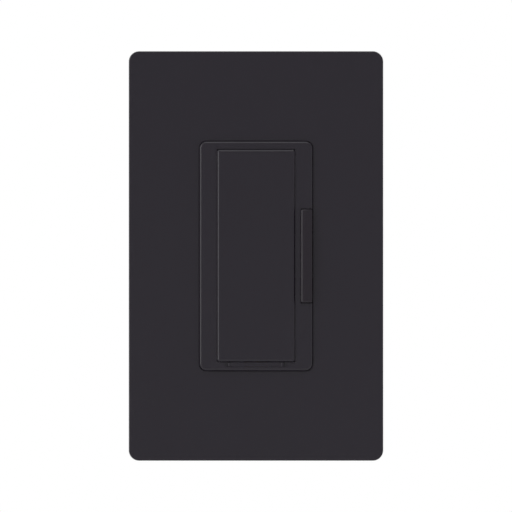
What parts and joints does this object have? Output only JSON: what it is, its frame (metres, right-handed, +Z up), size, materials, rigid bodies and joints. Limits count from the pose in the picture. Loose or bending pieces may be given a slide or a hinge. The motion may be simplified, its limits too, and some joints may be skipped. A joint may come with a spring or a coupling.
{
  "type": "rocker wall switch",
  "caption": "Charcoal rocker wall dimmer with a large tap paddle, a narrow dimming bar, a pull-out service tab and a screwless cover plate.",
  "frame": {"origin": "midway between the two box screws, on the plane of the finished wall", "axes": "+X right seen from the front, +Y into the wall, +Z up"},
  "size_m": [0.074, 0.0392, 0.119],
  "materials": {
    "charcoal_plastic": "fine moulded satin",
    "adapter_plastic": "moulded, hidden",
    "housing_plastic": "moulded black thermoset",
    "yoke_aluminium": "stamped",
    "zinc_steel": "zinc plated",
    "brass": "satin",
    "black_steel": "black oxide",
    "blue_steel": "blue dyed plating",
    "green_steel": "green dyed plating",
    "silver_contact": "silver alloy",
    "spring_steel": "thin spring steel",
    "fibre": "vulcanised fibre",
    "board_green": "glass epoxy laminate with solder mask",
    "chip_black": "epoxy moulding",
    "switch_black": "moulded",
    "plunger_brown": "moulded",
    "insulator_grey": "thermal pad",
    "ferrite": "powder core with coating",
    "copper": "enamelled wire",
    "film_yellow": "epoxy filled box",
    "sleeve_black": "shrink sleeve",
    "varistor_blue": "epoxy coating",
    "resistor_tan": "enamel",
    "diode_black": "epoxy moulding"
  },
  "bodies": {
    "chassis": {"wall_plate_cover": "charcoal_plastic", "wall_plate_adapter": "adapter_plastic", "adapter_screws": "zinc_steel", "mounting_yoke": "yoke_aluminium", "device_screws": "zinc_steel", "screw_retainers": "fibre", "ground_screw": "green_steel", "bezel_frame": "charcoal_plastic", "leaf_bracket": "brass", "service_fixed_contact": "brass", "control_board": "board_green", "power_board": "board_green", "board_pins": "brass", "chip_parts": "chip_black", "insulator_sheet": "fibre", "microcontroller": "chip_black", "triac": "chip_black", "triac_insulator": "insulator_grey", "triac_rivet": "zinc_steel", "choke_core": "ferrite", "choke_winding": "copper", "film_capacitor": "film_yellow", "electrolytic_capacitor": "sleeve_black", "varistor": "varistor_blue", "power_resistor": "resistor_tan", "rectifier_diode": "diode_black", "back_cover": "housing_plastic", "back_cover_screws": "zinc_steel", "tap_switch_base": "switch_black", "tap_switch_cover": "spring_steel", "tap_switch_dome": "spring_steel", "raise_switch_base": "switch_black", "raise_switch_cover": "spring_steel", "raise_switch_dome": "spring_steel", "lower_switch_base": "switch_black", "lower_switch_cover": "spring_steel", "lower_switch_dome": "spring_steel", "line_terminal_strip": "brass", "line_clamp_plate": "zinc_steel", "line_terminal_screw": "black_steel", "load_terminal_strip": "brass", "load_clamp_plate": "zinc_steel", "load_terminal_screw": "brass", "traveler_terminal_strip": "brass", "traveler_clamp_plate": "zinc_steel", "traveler_terminal_screw": "blue_steel"},
    "paddle": {"tap_paddle": "charcoal_plastic"},
    "rocker": {"dimming_rocker": "charcoal_plastic"},
    "service_tab": {"service_switch_tab": "charcoal_plastic"},
    "contact_leaf": {"service_contact_leaf": "brass", "service_moving_contact": "silver_contact"},
    "tap_plunger": {"tap_switch_plunger": "plunger_brown"},
    "raise_plunger": {"raise_switch_plunger": "plunger_brown"},
    "lower_plunger": {"lower_switch_plunger": "plunger_brown"}
  },
  "joints": [
    {"name": "paddle_tap", "type": "hinge", "parent": "chassis", "child": "paddle", "pos_m": [0, -0.0046, 0.03], "axis": [1, 0, 0], "range_deg": [0, 0.9], "stiffness_Nm_per_rad": 0.8, "springref_deg": -1.15},
    {"name": "rocker_tilt", "type": "hinge", "parent": "chassis", "child": "rocker", "pos_m": [0.0145, -0.0049, 0], "axis": [1, 0, 0], "range_deg": [-1.5, 1.5], "stiffness_Nm_per_rad": 0.3},
    {"name": "service_tab_pull", "type": "slide", "parent": "chassis", "child": "service_tab", "axis": [0, -1, 0], "range_m": [0, 0.003]},
    {"name": "contact_leaf_swing", "type": "hinge", "parent": "chassis", "child": "contact_leaf", "pos_m": [-0.01, 0.0094, -0.0315], "axis": [0, 0, -1], "range_deg": [0, 14.7]},
    {"name": "tap_plunger_press", "type": "slide", "parent": "chassis", "child": "tap_plunger", "axis": [0, 1, 0], "range_m": [0, 0.00036], "deforming": ["tap_switch_dome"]},
    {"name": "raise_plunger_press", "type": "slide", "parent": "chassis", "child": "raise_plunger", "axis": [0, 1, 0], "range_m": [-0.00025, 0.00025], "deforming": ["raise_switch_dome"]},
    {"name": "lower_plunger_press", "type": "slide", "parent": "chassis", "child": "lower_plunger", "axis": [0, 1, 0], "range_m": [-0.00025, 0.00025], "deforming": ["lower_switch_dome"]}
  ],
  "couplings": [
    {"joint": "tap_plunger_press", "follows": "paddle_tap", "m_per_rad": 0.0223},
    {"joint": "raise_plunger_press", "follows": "rocker_tilt", "m_per_rad": -0.009},
    {"joint": "lower_plunger_press", "follows": "rocker_tilt", "m_per_rad": 0.009},
    {"joint": "contact_leaf_swing", "follows": "service_tab_pull", "rad_per_m": 85}
  ]
}
